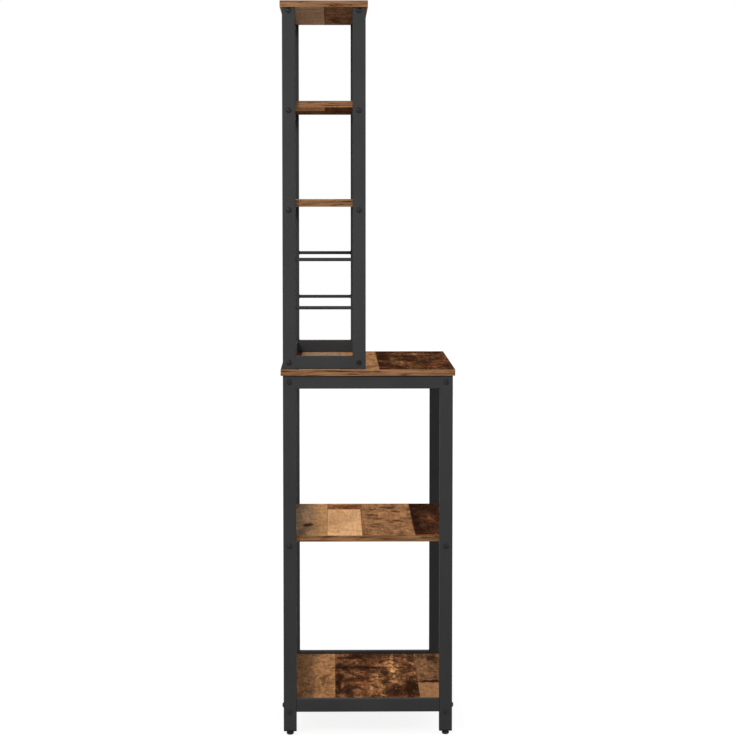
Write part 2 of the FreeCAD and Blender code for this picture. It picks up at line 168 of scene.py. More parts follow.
def new_tree(name, sizes):
    """A Geometry Nodes tree with a named input for each size; returns it and its two ends."""
    tree = bpy.data.node_groups.new(name, "GeometryNodeTree")
    tree.interface.new_socket("Geometry", in_out="INPUT", socket_type="NodeSocketGeometry")
    tree.interface.new_socket("Geometry", in_out="OUTPUT", socket_type="NodeSocketGeometry")
    for size in sizes:
        tree.interface.new_socket(size, in_out="INPUT", socket_type="NodeSocketFloat")
    return tree, tree.nodes.new("NodeGroupInput").outputs, tree.nodes.new("NodeGroupOutput").inputs


def close_tree(tree, geometry, material, result):
    """End a tree: real faces in place of instances, in one finish."""
    real = add_node(tree, "GeometryNodeRealizeInstances", {"Geometry": geometry}).outputs[0]
    done = add_node(tree, "GeometryNodeSetMaterial", {"Geometry": real, "Material": material})
    tree.links.new(done.outputs[0], result["Geometry"])


def grow(name, start, tree, sizes, smooth_degrees=38):
    """Run a tree on a mesh of points or lines, and keep the outcome as a plain closed mesh."""
    weld_distance = 0.002 * MM
    piece = bpy.data.objects.new(name, start)
    bpy.context.scene.collection.objects.link(piece)
    maker = piece.modifiers.new(name, "NODES")
    maker.node_group = tree
    for item in tree.interface.items_tree:
        if item.in_out == "INPUT" and item.name in sizes:
            maker[item.identifier] = sizes[item.name]
    evaluated = piece.evaluated_get(bpy.context.evaluated_depsgraph_get())
    made = bpy.data.meshes.new_from_object(evaluated)
    piece.modifiers.clear()
    piece.data = made
    made.name = name
    shell = bmesh.new()
    shell.from_mesh(made)
    bmesh.ops.remove_doubles(shell, verts=shell.verts, dist=weld_distance)
    bmesh.ops.recalc_face_normals(shell, faces=shell.faces)
    shell.to_mesh(made)
    shell.free()
    made.shade_smooth()
    made.set_sharp_from_angle(angle=math.radians(smooth_degrees))
    return piece


def keep(piece, body, slot, *replaced):
    """Hand a finished piece to the frame."""
    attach(piece, body)
    if replaced:
        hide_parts(*replaced)


def bead_tree():
    """A weld bead along each line of a mesh: a round run whose width swells at every ripple."""
    steps_per_ripple, section_sides = 6.0, 8
    tree, size, result = new_tree("weld_bead", ["Bead radius", "Ripple pitch", "Ripple share"])
    lines = add_node(tree, "GeometryNodeMeshToCurve", {"Mesh": size["Geometry"]}).outputs[0]
    step = sums(tree, "DIVIDE", size["Ripple pitch"], steps_per_ripple)
    lines = add_node(tree, "GeometryNodeResampleCurve", {"Curve": lines, "Length": step},
                     mode="LENGTH").outputs[0]
    distance = add_node(tree, "GeometryNodeSplineParameter").outputs["Length"]
    ripples = sums(tree, "DIVIDE", distance, size["Ripple pitch"])
    wave = sums(tree, "SINE", sums(tree, "MULTIPLY", ripples, 2 * math.pi))
    swell = sums(tree, "MULTIPLY_ADD", wave, size["Ripple share"], 1.0)
    section = add_node(tree, "GeometryNodeCurvePrimitiveCircle", {
        "Resolution": section_sides, "Radius": size["Bead radius"]}).outputs[0]
    bead = add_node(tree, "GeometryNodeCurveToMesh", {
        "Curve": lines, "Profile Curve": section, "Scale": swell, "Fill Caps": True}).outputs[0]
    close_tree(tree, bead, powder_coat, result)
    return tree


def line_mesh(name, runs):
    """A mesh of bare lines: each run is its points, and whether it closes on itself."""
    points, edges = [], []
    for run, closed in runs:
        first = len(points)
        points += run
        edges += [(first + i, first + i + 1) for i in range(len(run) - 1)]
        if closed:
            edges.append((first + len(run) - 1, first))
    mesh = bpy.data.meshes.new(name)
    mesh.from_pydata(points, edges, [])
    return mesh


def corner_run(rail, end, height):
    """Line across a rail's end, in the corner between the rail and its post."""
    low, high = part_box(rail)
    y = low.y if end < 0 else high.y
    inset = 3.2 * MM
    return [(low.x + inset, y, height), (high.x - inset, y, height)], False


def ground_weld(name, rails):
    """Weld metal ground flush on the broad sides of each rail end, where the post is round."""
    corner, lap, proud, arc_steps = 2.5 * MM, 0.3 * MM, 0.05 * MM, 6
    shell = bmesh.new()
    for rail in rails:
        low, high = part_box(rail)
        for face, out in ((low.x, -1), (high.x, 1)):
            for joint, way in ((low.y, -1), (high.y, 1)):
                outline = [(face + out * proud, joint - way * lap),
                           (face + out * proud, joint + way * (corner + lap)),
                           (face - out * lap, joint + way * (corner + lap))]
                for step in range(arc_steps + 1):
                    turn = step * math.pi / (2 * arc_steps)
                    outline.append((face - out * (corner * (1 - math.cos(turn)) + lap),
                                    joint + way * corner * (1 - math.sin(turn))))
                outline.append((face - out * (corner + lap), joint - way * lap))
                bottom = [shell.verts.new((x, y, low.z + corner)) for x, y in outline]
                top = [shell.verts.new((x, y, high.z - corner)) for x, y in outline]
                shell.faces.new(bottom)
                shell.faces.new(top)
                for i in range(len(outline)):
                    j = (i + 1) % len(outline)
                    shell.faces.new((bottom[i], bottom[j], top[j], top[i]))
    bmesh.ops.recalc_face_normals(shell, faces=shell.faces)
    mesh = bpy.data.meshes.new(name)
    shell.to_mesh(mesh)
    shell.free()
    mesh.materials.append(powder_coat)
    piece = bpy.data.objects.new(name, mesh)
    bpy.context.scene.collection.objects.link(piece)
    keep(piece, "frame", "frame_coat")


weld_beads = bead_tree()
ground_weld("base_ground_welds", [f"base_{side}_top_rail" for side in SIDES])
base_corners = [corner_run(f"base_{side}_top_rail", end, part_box(f"base_{side}_top_rail")[0].z)
                for side in SIDES for end in ENDS.values()]
keep(grow("base_weld_beads", line_mesh("base_weld_lines", base_corners), weld_beads,
          {"Bead radius": 1.5 * MM, "Ripple pitch": 1.9 * MM, "Ripple share": 0.13}),
     "frame", "frame_coat")


# -------------------------------------------------------------------
# Leg plugs. Black moulded plastic plugs close the lower end of each base post; a turned
# brass sleeve with an inside thread is pressed into each one for the levelling foot.
# -------------------------------------------------------------------
def metal_finish(name, dark, pale, rough_low, rough_high, draw_factors):
    """Bare metal with drawn lines, cloudy plating and uneven polish."""
    material, tree, shader, place = new_finish(name)
    line_share, line_strength, line_depth = 0.5, 0.2, 0.03 * MM
    lines = speckle(tree, stretch(tree, place, draw_factors), 1.0, detail=4.0, roughness=0.6)
    cloud = speckle(tree, place, per_metre=160.0, detail=3.0, roughness=0.6)
    share = spread(tree, sums(tree, "MULTIPLY_ADD", lines, line_share, cloud), 0.5, 1.0)
    tree.links.new(tinted(tree, share, paint(*dark), paint(*pale)), shader.inputs["Base Color"])
    roughness = spread(tree, cloud, 0.3, 0.7, rough_low, rough_high)
    tree.links.new(roughness, shader.inputs["Roughness"])
    bump = add_node(tree, "ShaderNodeBump", {
        "Strength": line_strength, "Distance": line_depth, "Height": lines})
    tree.links.new(bump.outputs[0], shader.inputs["Normal"])
    shader.inputs["Metallic"].default_value = 1.0
    return material


black_plastic, plastic_shader = coat_finish(
    "moulded_black_plastic", dark=(18, 18, 19), pale=(26, 26, 27), rough_low=0.42, rough_high=0.56,
    peel_per_metre=900.0, peel_height=0.06 * MM)
plastic_shader.inputs["Specular IOR Level"].default_value = 0.14
dress(black_plastic, "leg_plugs")
sleeve_brass = metal_finish(
    "turned_brass", dark=(150, 118, 58), pale=(196, 164, 98), rough_low=0.3, rough_high=0.45,
    draw_factors=(300.0, 300.0, 2500.0))
dress(sleeve_brass, "leg_thread_inserts")


# -------------------------------------------------------------------
# Levelling feet. A blackened steel stud with a rolled thread and a hexagon collar screws into
# each leg; its flange snaps into a ribbed moulded pad, which stays still as the stud turns.
# -------------------------------------------------------------------
def choose(tree, index, values):
    """The value whose place in the list is the index."""
    switch = add_node(tree, "GeometryNodeIndexSwitch", data_type="FLOAT")
    while len(switch.index_switch_items) < len(values):
        switch.index_switch_items.new()
    tree.links.new(index, switch.inputs[0])
    for number, value in enumerate(values):
        if isinstance(value, bpy.types.NodeSocket):
            tree.links.new(value, switch.inputs[number + 1])
        else:
            switch.inputs[number + 1].default_value = value
    return switch.outputs[0]


def turned(tree, rings, steps):
    """Shape turned about Z: a ring of points for each radius, height and outline given."""
    grid = add_node(tree, "GeometryNodeMeshGrid",
                    {"Vertices X": steps + 1, "Vertices Y": len(rings)}).outputs[0]
    count = add_node(tree, "GeometryNodeInputIndex").outputs[0]
    ring = sums(tree, "MODULO", count, float(len(rings)))
    middle = sums(tree, "ADD", count, 0.5)
    step = sums(tree, "FLOOR", sums(tree, "DIVIDE", middle, float(len(rings))))
    angle = sums(tree, "MULTIPLY", step, 2 * math.pi / steps)
    outlines = {shape: shape(tree, angle) for _, _, shape in rings if shape}
    radius = choose(tree, ring, [r for r, _, _ in rings])
    outline = choose(tree, ring, [outlines.get(shape, 1.0) for _, _, shape in rings])
    reach = sums(tree, "MULTIPLY", radius, outline)
    spot = add_node(tree, "ShaderNodeCombineXYZ", {
        0: sums(tree, "MULTIPLY", reach, sums(tree, "COSINE", angle)),
        1: sums(tree, "MULTIPLY", reach, sums(tree, "SINE", angle)),
        2: choose(tree, ring, [z for _, z, _ in rings])}).outputs[0]
    moved = add_node(tree, "GeometryNodeSetPosition", {"Geometry": grid, "Position": spot})
    return add_node(tree, "GeometryNodeMergeByDistance", {
        "Geometry": moved.outputs[0], "Distance": 0.004 * MM}).outputs[0]


def six_sided(tree, angle):
    """Outline of a hexagon whose flats are one radius from the middle."""
    sixth = math.pi / 3
    swing = sums(tree, "SUBTRACT", sums(tree, "MODULO", angle, sixth), sixth / 2)
    return sums(tree, "DIVIDE", 1.0, sums(tree, "COSINE", swing))


PAD_RIBS, RIB_SHARE = 28, 0.022


def ribbed(tree, angle):
    """Outline with shallow finger ribs all round."""
    wave = sums(tree, "COSINE", sums(tree, "MULTIPLY", angle, float(PAD_RIBS)))
    return sums(tree, "MULTIPLY_ADD", wave, RIB_SHARE, 1 - RIB_SHARE)


def pad_tree():
    """Moulded foot pad: ribbed wall, tapered foot with a hollow underneath, snap pocket inside."""
    wall_ease, crown_ease, crown_drop, throat_ease = 0.25 * MM, 0.7 * MM, 0.2 * MM, 0.4 * MM
    wall_foot, taper_top, taper_foot, taper_out = 3.0 * MM, 2.4 * MM, 0.3 * MM, 0.4 * MM
    hollow_rim, hollow_roof, hollow_depth, steps_per_rib = 0.7, 0.6, 0.5 * MM, 4
    tree, size, result = new_tree("foot_pad", [
        "Diameter", "Foot diameter", "Height", "Throat diameter", "Pocket diameter", "Floor",
        "Pocket top"])
    wall, foot, throat, pocket = (sums(tree, "MULTIPLY", size[name], 0.5) for name in
                                  ("Diameter", "Foot diameter", "Throat diameter", "Pocket diameter"))
    eased, crown = (sums(tree, "SUBTRACT", wall, cut) for cut in (wall_ease, crown_ease))
    top, floor, pocket_top = size["Height"], size["Floor"], size["Pocket top"]
    rings = [(0.0, floor, None), (pocket, floor, None), (pocket, pocket_top, None),
             (throat, pocket_top, None), (throat, sums(tree, "SUBTRACT", top, throat_ease), None),
             (sums(tree, "ADD", throat, throat_ease), top, None), (crown, top, None),
             (eased, sums(tree, "SUBTRACT", top, crown_drop), ribbed),
             (wall, sums(tree, "SUBTRACT", top, crown_ease), ribbed),
             (wall, wall_foot, ribbed), (eased, taper_top, ribbed),
             (sums(tree, "ADD", foot, taper_out), taper_foot, None), (foot, 0.0, None),
             (sums(tree, "MULTIPLY", foot, hollow_rim), 0.0, None),
             (sums(tree, "MULTIPLY", foot, hollow_roof), hollow_depth, None),
             (0.0, hollow_depth, None)]
    pad = turned(tree, rings, PAD_RIBS * steps_per_rib)
    spots = add_node(tree, "GeometryNodeInstanceOnPoints",
                     {"Points": size["Geometry"], "Instance": pad}).outputs[0]
    close_tree(tree, spots, pad_plastic, result)
    return tree


def stud_tree():
    """Levelling stud: flange, neck, hexagon collar, and a thread wound round the core."""
    collar_ease, collar_bevel, tip_rise, tip_ease = 0.5 * MM, 0.35 * MM, 0.8 * MM, 0.6 * MM
    core_steps, steps_per_turn, ridge_sides = 48, 28, 4
    tree, size, result = new_tree("levelling_stud", [
        "Thread diameter", "Thread pitch", "Thread depth", "Flange diameter", "Flange foot",
        "Flange top", "Collar flats", "Collar foot", "Collar top", "Tip", "Thread turns"])
    crest, flange, flats = (sums(tree, "MULTIPLY", size[name], 0.5) for name in
                            ("Thread diameter", "Flange diameter", "Collar flats"))
    root = sums(tree, "SUBTRACT", crest, size["Thread depth"])
    eased = sums(tree, "SUBTRACT", flats, collar_ease)
    low, high, tip = size["Collar foot"], size["Collar top"], size["Tip"]
    rings = [(0.0, size["Flange foot"], None), (flange, size["Flange foot"], None),
             (flange, size["Flange top"], None), (root, size["Flange top"], None),
             (root, low, None), (eased, low, None),
             (flats, sums(tree, "ADD", low, collar_bevel), six_sided),
             (flats, sums(tree, "SUBTRACT", high, collar_bevel), six_sided), (eased, high, None),
             (root, high, None), (root, sums(tree, "SUBTRACT", tip, tip_rise), None),
             (sums(tree, "SUBTRACT", root, tip_ease), tip, None), (0.0, tip, None)]
    core = turned(tree, rings, core_steps)
    rise = sums(tree, "MULTIPLY", size["Thread pitch"], size["Thread turns"])
    winding = add_node(tree, "GeometryNodeCurveSpiral", {
        "Resolution": steps_per_turn, "Rotations": size["Thread turns"], "Start Radius": root,
        "End Radius": root, "Height": rise, "Reverse": True}).outputs[0]
    winding = add_node(tree, "GeometryNodeSetCurveNormal", {"Curve": winding}, mode="Z_UP").outputs[0]
    section = add_node(tree, "GeometryNodeCurvePrimitiveCircle",
                       {"Resolution": ridge_sides, "Radius": size["Thread depth"]}).outputs[0]
    ridge = add_node(tree, "GeometryNodeCurveToMesh",
                     {"Curve": winding, "Profile Curve": section, "Fill Caps": True}).outputs[0]
    start = add_node(tree, "ShaderNodeCombineXYZ",
                     {2: sums(tree, "ADD", high, size["Thread pitch"])}).outputs[0]
    ridge = add_node(tree, "GeometryNodeTransform",
                     {"Geometry": ridge, "Translation": start}).outputs[0]
    both = tree.nodes.new("GeometryNodeJoinGeometry")
    for part in (core, ridge):
        tree.links.new(part, both.inputs[0])
    spots = add_node(tree, "GeometryNodeInstanceOnPoints",
                     {"Points": size["Geometry"], "Instance": both.outputs[0]}).outputs[0]
    close_tree(tree, spots, stud_black, result)
    return tree


def point_mesh(name, points, outward=None):
    """A mesh of bare points, each with the way it faces."""
    mesh = bpy.data.meshes.new(name)
    mesh.from_pydata(points, [], [])
    if outward:
        facing = mesh.attributes.new("outward", "FLOAT_VECTOR", "POINT")
        facing.data.foreach_set("vector", [part for way in outward for part in way])
    return mesh


pad_plastic, pad_shader = coat_finish(
    "foot_pad_plastic", dark=(23, 23, 24), pale=(31, 31, 32), rough_low=0.5, rough_high=0.66,
    peel_per_metre=700.0, peel_height=0.08 * MM)
pad_shader.inputs["Specular IOR Level"].default_value = 0.3
stud_black = metal_finish(
    "blackened_steel_stud", dark=(24, 24, 25), pale=(44, 44, 46), rough_low=0.3, rough_high=0.46,
    draw_factors=(900.0, 900.0, 200.0))
foot_pads, foot_studs = pad_tree(), stud_tree()
pad_sizes = {"Diameter": 17 * MM, "Foot diameter": 12 * MM, "Height": 6 * MM,
             "Throat diameter": 8.6 * MM, "Pocket diameter": 12.6 * MM, "Floor": 1.6 * MM,
             "Pocket top": 4.0 * MM}
pad_smooth_degrees = 30
stud_sizes = {"Thread diameter": 8 * MM, "Thread pitch": 1.25 * MM, "Thread depth": 0.56 * MM,
              "Flange diameter": 12 * MM, "Flange foot": 1.9 * MM, "Flange top": 3.7 * MM,
              "Collar flats": 13 * MM, "Collar foot": 6.3 * MM, "Collar top": 8.7 * MM,
              "Tip": 38 * MM, "Thread turns": 21.0}
for side in SIDES:
    for end in ENDS:
        low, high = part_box(f"{end}_{side}_foot_pad")
        under = ((low.x + high.x) / 2, (low.y + high.y) / 2, low.z)
        spot = point_mesh(f"{end}_{side}_foot_spot", [under])
        keep(grow(f"{end}_{side}_levelling_stud", spot, foot_studs, stud_sizes),
             f"{end}_{side}_stud", "stud_steel", f"{end}_{side}_foot_stud")
        keep(grow(f"{end}_{side}_ribbed_pad", spot, foot_pads, pad_sizes, pad_smooth_degrees),
             f"{end}_{side}_pad", "foot_plastic", f"{end}_{side}_foot_pad")


# -------------------------------------------------------------------
# Base cross members. Two 30 x 20 mm rails under the worktop and two 15 mm square bars under
# each shelf join the side frames; a tapped steel block is fixed inside every tube end.
# -------------------------------------------------------------------
insert_steel = metal_finish(
    "plain_steel_block", dark=(92, 92, 94), pale=(134, 134, 136), rough_low=0.38, rough_high=0.55,
    draw_factors=(250.0, 900.0, 900.0))
for end in ENDS:
    dress(powder_coat, f"base_{end}_top_rail", f"middle_shelf_{end}_bar", f"bottom_shelf_{end}_bar")
dress(insert_steel, "bar_inserts", "cross_rail_inserts", "bottom_rail_inserts")


# -------------------------------------------------------------------
# Frame screws. Black-coated steel button heads with a hexagon socket, one through each post
# into the end of every cross member, and one through each post into the bottom side rail.
# -------------------------------------------------------------------
def screw_tree(name, material, recess, seed):
    """Round-headed screw on every point, facing its own way, with a shaped hole in its head."""
    seat_ease, recess_ease, drill_point, tip_rise = 0.15 * MM, 0.22 * MM, 0.3 * MM, 0.8 * MM
    tip_share, dome_shares, head_steps = 0.72, (0.2, 0.4, 0.6, 0.8), 36
    tree, size, result = new_tree(name, [
        "Head diameter", "Head height", "Rim height", "Crown diameter", "Recess width",
        "Recess depth", "Shank diameter", "Grip"])
    head, crown, hole, shank = (sums(tree, "MULTIPLY", size[part], 0.5) for part in
                                ("Head diameter", "Crown diameter", "Recess width", "Shank diameter"))
    top, rim = size["Head height"], size["Rim height"]
    inward, upward = sums(tree, "SUBTRACT", crown, head), sums(tree, "SUBTRACT", top, rim)
    dome = [(sums(tree, "MULTIPLY_ADD", inward, share, head),
             sums(tree, "MULTIPLY_ADD", upward, 1 - (1 - share) ** 2, rim), None)
            for share in dome_shares]
    below = sums(tree, "MULTIPLY", size["Grip"], -1.0)
    floor = sums(tree, "SUBTRACT", top, size["Recess depth"])
    rings = [(0.0, below, None), (sums(tree, "MULTIPLY", shank, tip_share), below, None),
             (shank, sums(tree, "ADD", below, tip_rise), None), (shank, 0.0, None),
             (sums(tree, "SUBTRACT", head, seat_ease), 0.0, None), (head, seat_ease, None),
             (head, rim, None), *dome, (crown, top, None),
             (sums(tree, "ADD", hole, recess_ease), top, recess),
             (hole, sums(tree, "SUBTRACT", top, recess_ease), recess), (hole, floor, recess),
             (0.0, sums(tree, "SUBTRACT", floor, drill_point), None)]
    screw = turned(tree, rings, head_steps)
    ways = add_node(tree, "GeometryNodeInputNamedAttribute", {"Name": "outward"},
                    data_type="FLOAT_VECTOR").outputs[0]
    facing = add_node(tree, "FunctionNodeAlignRotationToVector", {"Vector": ways}, axis="Z")
    spots = add_node(tree, "GeometryNodeInstanceOnPoints", {
        "Points": size["Geometry"], "Instance": screw, "Rotation": facing.outputs[0]}).outputs[0]
    draw = add_node(tree, "FunctionNodeRandomValue", {"Seed": seed}, data_type="FLOAT")
    chance = next(socket for socket in draw.outputs if socket.enabled)
    turn = sums(tree, "MULTIPLY", chance, 2 * math.pi)
    spin = add_node(tree, "ShaderNodeCombineXYZ", {2: turn}).outputs[0]
    spots = add_node(tree, "GeometryNodeRotateInstances",
                     {"Instances": spots, "Rotation": spin, "Local Space": True}).outputs[0]
    close_tree(tree, spots, material, result)
    return tree


screw_black, screw_shader = coat_finish(
    "black_screw_coating", dark=(12, 12, 13), pale=(20, 20, 21), rough_low=0.22, rough_high=0.3,
    peel_per_metre=1100.0, peel_height=0.03 * MM)
screw_shader.inputs["Specular IOR Level"].default_value = 0.28
button_screws = screw_tree("button_screw", screw_black, six_sided, seed=3)
button_sizes = {"Head diameter": 12 * MM, "Head height": 3 * MM, "Rim height": 0.7 * MM,
                "Crown diameter": 5.4 * MM, "Recess width": 4 * MM, "Recess depth": 2 * MM,
                "Shank diameter": 6 * MM, "Grip": 31 * MM}


def middle_of(node):
    """Middle of a CAD node's box."""
    low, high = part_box(node)
    return (low + high) / 2


def end_screws(members):
    """Where cross members' screws sit on the posts' outer faces, and which way they face."""
    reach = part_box("base_front_left_post")[0].x
    spots = [(way * abs(reach), middle_of(member).y, middle_of(member).z)
             for member in members for way in SIDES.values()]
    return spots, [(math.copysign(1, spot[0]), 0, 0) for spot in spots]


base_kinds = (("base", "top_rail"), ("middle_shelf", "bar"), ("bottom_shelf", "bar"))
base_members = [f"{name}_{end}_{kind}" for end in ENDS for name, kind in base_kinds]
keep(grow("base_button_screws", point_mesh("base_screw_spots", *end_screws(base_members)),
          button_screws, button_sizes), "frame", "black_screw", "base_frame_screws")

rail_spots = [(middle_of(f"base_{side}_bottom_rail").x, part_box(f"base_{end}_left_post")[way > 0].y,
               middle_of(f"base_{side}_bottom_rail").z) for side in SIDES for end, way in ENDS.items()]
rail_ways = [(0, math.copysign(1, spot[1]), 0) for spot in rail_spots]
keep(grow("bottom_rail_button_bolts", point_mesh("rail_bolt_spots", rail_spots, rail_ways),
          button_screws, {**button_sizes, "Grip": 41 * MM}),
     "frame", "black_screw", "bottom_rail_bolts")


# -------------------------------------------------------------------
# Base boards. Bottom shelf, middle shelf and worktop are 15 mm particle board faced with a
# matte printed decor of old salvaged planks, edge-banded all round, laid on the bars.
# -------------------------------------------------------------------
PLANK_TINTS = {
    "peach": (246, 195, 144), "straw": (207, 158, 111), "tan": (188, 141, 97), "olive": (112, 95, 76),
    "walnut": (132, 98, 71), "chestnut": (174, 129, 92), "umber": (102, 68, 48), "cocoa": (76, 50, 36),
    "bistre": (140, 98, 71), "hazel": (110, 81, 59), "charred": (46, 28, 20),
    "russet": (140, 88, 62), "taupe": (167, 135, 109)}
WEAR_TINTS = {"rubbed": (176, 132, 90), "fleck": (54, 31, 20), "pore": (58, 36, 25),
              "joint": (44, 27, 19)}
BAND_TINTS = {"dark": (94, 64, 42), "pale": (159, 117, 82), "grain": (92, 60, 36),
              "fleck": (54, 31, 19), "eased edge": (150, 112, 78)}
JOINT_WIDTH = 1.3 * MM
BOARD_SPAN = 0.6


def step_ramp(tree, place, pieces):
    """Planks end to end along a row: tint and stain, by the place where each one starts."""
    node = add_node(tree, "ShaderNodeValToRGB", {0: place})
    node.color_ramp.interpolation = "CONSTANT"
    stops = node.color_ramp.elements
    for number, (start, tint, stain) in enumerate(pieces):
        spot = min(max(start / BOARD_SPAN + 0.5, 0.0), 1.0)
        stop = stops[number] if number < 2 else stops.new(spot)
        stop.position = spot
        stop.color = (*paint(*PLANK_TINTS[tint])[:3], stain)
    if len(pieces) == 1:
        stops.remove(stops[1])
    return node.outputs["Color"], node.outputs["Alpha"]


def near_line(tree, place, line):
    """1 on a joint line, falling to 0 at its edge."""
    gap = sums(tree, "ABSOLUTE", sums(tree, "SUBTRACT", place, line))
    return spread(tree, gap, 0.3 * JOINT_WIDTH, JOINT_WIDTH, 1.0, 0.0)


def plank_decor(board, shown_side, rows, marks):
    """Printed plank facing and edge band of one board.

    Rows run along the board from front to back: each has the depth where it starts, and its
    planks. Marks are knots, stains and pale wear: place, half sizes, tint and strength.
    """
    material, tree, shader, place = new_finish(f"{board}_plank_decor")
    facing = add_node(tree, "ShaderNodeTexCoord").outputs["Normal"]
    lean = add_node(tree, "ShaderNodeSeparateXYZ", {0: facing}).outputs[2]
    turn_over = sums(tree, "MULTIPLY", sums(tree, "SIGN", lean), float(shown_side))
    mirror = add_node(tree, "ShaderNodeCombineXYZ", {0: turn_over, 1: 1.0, 2: 1.0}).outputs[0]
    face = stretch(tree, place, mirror)
    along, across, height = add_node(tree, "ShaderNodeSeparateXYZ", {0: face}).outputs

    row_wander, end_wander = 2.2 * MM, 4.0 * MM
    wobble = sums(tree, "SUBTRACT", speckle(tree, face, per_metre=26.0), 0.5)
    row_place = sums(tree, "MULTIPLY_ADD", wobble, row_wander, across)
    end_place = sums(tree, "MULTIPLY_ADD", wobble, end_wander, along)
    ramp_place = sums(tree, "MULTIPLY_ADD", end_place, 1 / BOARD_SPAN, 0.5)
    tint = stain = joint = None
    for start, pieces in rows:
        row_tint, row_stain = step_ramp(tree, ramp_place, pieces)
        row_joint = 0.0
        for plank_start, _, _ in pieces[1:]:
            row_joint = sums(tree, "MAXIMUM", row_joint, near_line(tree, end_place, plank_start))
        if tint is None:
            tint, stain, joint = row_tint, row_stain, row_joint
            continue
        inside = sums(tree, "GREATER_THAN", row_place, start)
        tint = tinted(tree, inside, tint, row_tint)
        stain = add_node(tree, "ShaderNodeMix", {0: inside, 2: stain, 3: row_stain}).outputs[0]
        joint = add_node(tree, "ShaderNodeMix", {0: inside, 2: joint, 3: row_joint}).outputs[0]
        joint = sums(tree, "MAXIMUM", joint, near_line(tree, row_place, start))

    def figure(where, along_metre, across_metre, detail, roughness, distortion=0.0):
        """Noise drawn out along the board, by its scale to the metre both ways."""
        drawn = stretch(tree, where, (along_metre, across_metre, 1.0))
        return speckle(tree, drawn, 1.0, detail, roughness, distortion)

    plank_apart = (3.0, 3.0, 3.0)
    own = add_node(tree, "ShaderNodeTexWhiteNoise", {"Vector": tint}, noise_dimensions="3D")
    own = stretch(tree, own.outputs["Color"], plank_apart)
    own = add_node(tree, "ShaderNodeVectorMath", {0: face, 1: own}, operation="ADD").outputs[0]
    streak = figure(own, 2.4, 24.0, 7.0, 0.72, 0.25)
    blotch = figure(own, 18.0, 40.0, 9.0, 0.8, 0.15)
    grain = figure(own, 9.0, 330.0, 5.0, 0.65, 0.4)
    pores = figure(own, 55.0, 1500.0, 2.0, 0.6)
    nicks = figure(own, 32.0, 140.0, 4.0, 0.66)
    spots = figure(own, 38.0, 42.0, 4.0, 0.62, 0.4)
    saw = figure(own, 230.0, 30.0, 3.0, 0.6, 0.2)
    chalk = figure(own, 30.0, 70.0, 6.0, 0.72, 0.2)
    patch = figure(own, 8.0, 15.0, 7.0, 0.7, 0.6)
    ragged = figure(own, 24.0, 60.0, 7.0, 0.76, 0.3)
    worn = spread(tree, stain, 0.0, 0.9, 0.3, 1.0)

    def marked(colour, x, y, half_long, half_wide, mark_tint, strength, soft=False):
        """A colour with one oval of another tint on it, ragged or soft at its edge."""
        ragged_share, inner, outer = (0.9, 0.8, 1.7) if soft else (3.6, 2.15, 3.05)
        offset = add_node(tree, "ShaderNodeVectorMath", {0: face, 1: (x, y, 0.0)},
                          operation="SUBTRACT").outputs[0]
        offset = stretch(tree, offset, (1 / half_long, 1 / half_wide, 0.0))
        gap = add_node(tree, "ShaderNodeVectorMath", {0: offset}, operation="LENGTH").outputs["Value"]
        gap = sums(tree, "MULTIPLY_ADD", ragged, ragged_share, gap)
        share = spread(tree, gap, inner, outer, strength, 0.0, smooth=True)
        return tinted(tree, share, colour, paint(*PLANK_TINTS[mark_tint]))

    burns = [mark for mark in marks if mark[4] == "charred"]
    colour = tint
    for mark in marks:
        if mark not in burns:
            colour = marked(colour, *mark)
    for cause, dark, pale in ((streak, (0.52, 0.48, 0.45, 1.0), (1.46, 1.43, 1.38, 1.0)),
                              (blotch, (0.32, 0.29, 0.265, 1.0), (1.72, 1.68, 1.58, 1.0))):
        shade = tinted(tree, spread(tree, cause, 0.39, 0.61), dark, pale)
        colour = tinted(tree, sums(tree, "MULTIPLY", worn, worn), colour, shade, "MULTIPLY")
    shade = tinted(tree, spread(tree, grain, 0.3, 0.7),
                   (0.84, 0.82, 0.79, 1.0), (1.12, 1.12, 1.1, 1.0))
    colour = tinted(tree, 1.0, colour, shade, "MULTIPLY")
    shade = tinted(tree, spread(tree, nicks, 0.36, 0.64),
                   (0.62, 0.58, 0.55, 1.0), (1.3, 1.29, 1.27, 1.0))
    colour = tinted(tree, worn, colour, shade, "MULTIPLY")
    soak = sums(tree, "SUBTRACT", 0.75, sums(tree, "MULTIPLY", stain, 0.3))
    soaked = spread(tree, sums(tree, "SUBTRACT", patch, soak), -0.02, 0.05, smooth=True)
    soaked = sums(tree, "MULTIPLY", soaked, 0.72)
    colour = tinted(tree, soaked, colour, paint(*PLANK_TINTS["charred"]))
    rubbed = spread(tree, chalk, 0.61, 0.66, smooth=True)
    rubbed = sums(tree, "MULTIPLY", rubbed, sums(tree, "MULTIPLY", worn, 0.7))
    colour = tinted(tree, rubbed, colour, paint(*WEAR_TINTS["rubbed"]))
    flecks = sums(tree, "MULTIPLY", spread(tree, spots, 0.56, 0.64, smooth=True), worn)
    flecks = sums(tree, "MULTIPLY", flecks, spread(tree, saw, 0.42, 0.56, 0.4, 1.0))
    colour = tinted(tree, flecks, colour, paint(*WEAR_TINTS["fleck"]))
    open_pores = spread(tree, pores, 0.62, 0.74, 0.0, 0.5)
    colour = tinted(tree, open_pores, colour, paint(*WEAR_TINTS["pore"]))
    for mark in burns:
        colour = marked(colour, *mark)
    colour = tinted(tree, sums(tree, "MULTIPLY", joint, 0.45), colour, paint(*WEAR_TINTS["joint"]))

